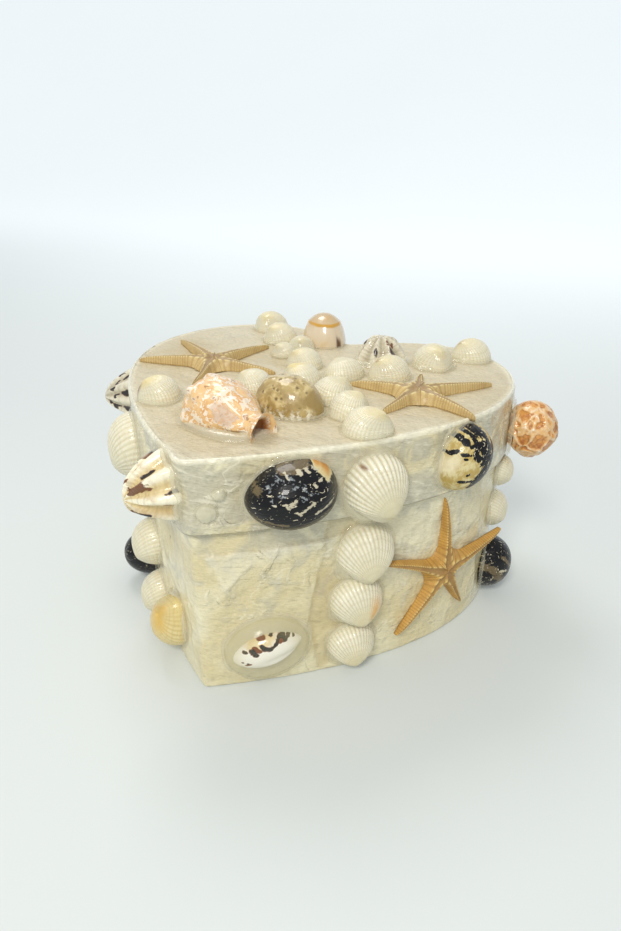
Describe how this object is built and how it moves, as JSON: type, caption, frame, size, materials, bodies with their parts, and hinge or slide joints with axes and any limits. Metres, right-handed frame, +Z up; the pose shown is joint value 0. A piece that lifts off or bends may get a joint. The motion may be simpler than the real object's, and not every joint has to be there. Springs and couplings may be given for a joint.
{
  "type": "shell box",
  "caption": "Heart-shaped trinket box with a deep lift-off lid, cream pearl varnish, its lid and walls set with seashells and starfish.",
  "frame": {"origin": "middle of the flat underside, half way between the tip of the heart and its lobes", "axes": "+Z up out of the lid, -Y toward the tip of the heart, +X to the right of someone facing the tip"},
  "size_m": [0.1715, 0.1545, 0.1002],
  "materials": {
    "pearl_paper": "cream pearlescent paint brushed over papier-mache and pasted paper, sealed with gloss varnish",
    "ivory_shell": "ivory cockle shell under clear varnish, pale yellow toward the crown",
    "straw_shell": "straw-yellow cockle shell under clear varnish",
    "tan_shell": "olive-tan worn nerite shell, pitted, varnished",
    "starfish": "dried golden-tan starfish with beaded margins, thin satin varnish",
    "peach_shell": "peach and orange mottled shell with white patches, varnished",
    "rosy_shell": "beige-rose ring cowry with a gold ring, glossy",
    "black_shell": "black nerite shell with cream dashes, glossy",
    "speckled_shell": "chalk-white ribbed limpet with black dots and chevrons",
    "blotched_shell": "cream star limpet with brown blotches between its ribs, glossy",
    "clear_resin": "clear olive-tinted resin, glossy"
  },
  "bodies": {
    "root": {"box_body": "pearl_paper", "lid": "pearl_paper", "conch": "peach_shell", "tan_nerite": "tan_shell", "cockle_corner": "ivory_shell", "cockle_by_conch": "ivory_shell", "cockle_rear_end": "ivory_shell", "cockle_rear": "ivory_shell", "cockle_small": "ivory_shell", "cockle_small_rear": "ivory_shell", "cockle_mid_rear": "ivory_shell", "cockle_mid": "straw_shell", "cockle_cross": "ivory_shell", "cockle_mid_front": "ivory_shell", "cockle_front": "ivory_shell", "cockle_front_end": "ivory_shell", "ring_cowry": "rosy_shell", "mottled_limpet": "speckled_shell", "cockle_arm": "ivory_shell", "cockle_arm_mid": "ivory_shell", "cockle_arm_end": "ivory_shell", "black_nerite": "black_shell", "cockle_lid_front": "ivory_shell", "tan_black_nerite": "black_shell", "drupe": "peach_shell", "star_limpet": "blotched_shell", "cockle_lid_left": "ivory_shell", "dotted_limpet": "speckled_shell", "cockle_front_upper": "ivory_shell", "cockle_front_middle": "ivory_shell", "cockle_front_lower": "ivory_shell", "resin_drop": "clear_resin", "cockle_left_upper": "ivory_shell", "cockle_left_middle": "ivory_shell", "cockle_left_lower": "ivory_shell", "cockle_straw": "straw_shell", "black_nerite_left": "black_shell", "black_nerite_right": "black_shell", "cockle_right_upper": "ivory_shell", "cockle_right_lower": "ivory_shell", "cockle_lid_back_right": "ivory_shell", "black_nerite_back": "black_shell", "cockle_lid_back_left": "ivory_shell", "limpet_back": "blotched_shell", "cockle_back_right": "ivory_shell", "cockle_back_left": "ivory_shell", "starfish_left": "starfish", "starfish_right": "starfish", "starfish_front": "starfish"}
  },
  "joints": []
}
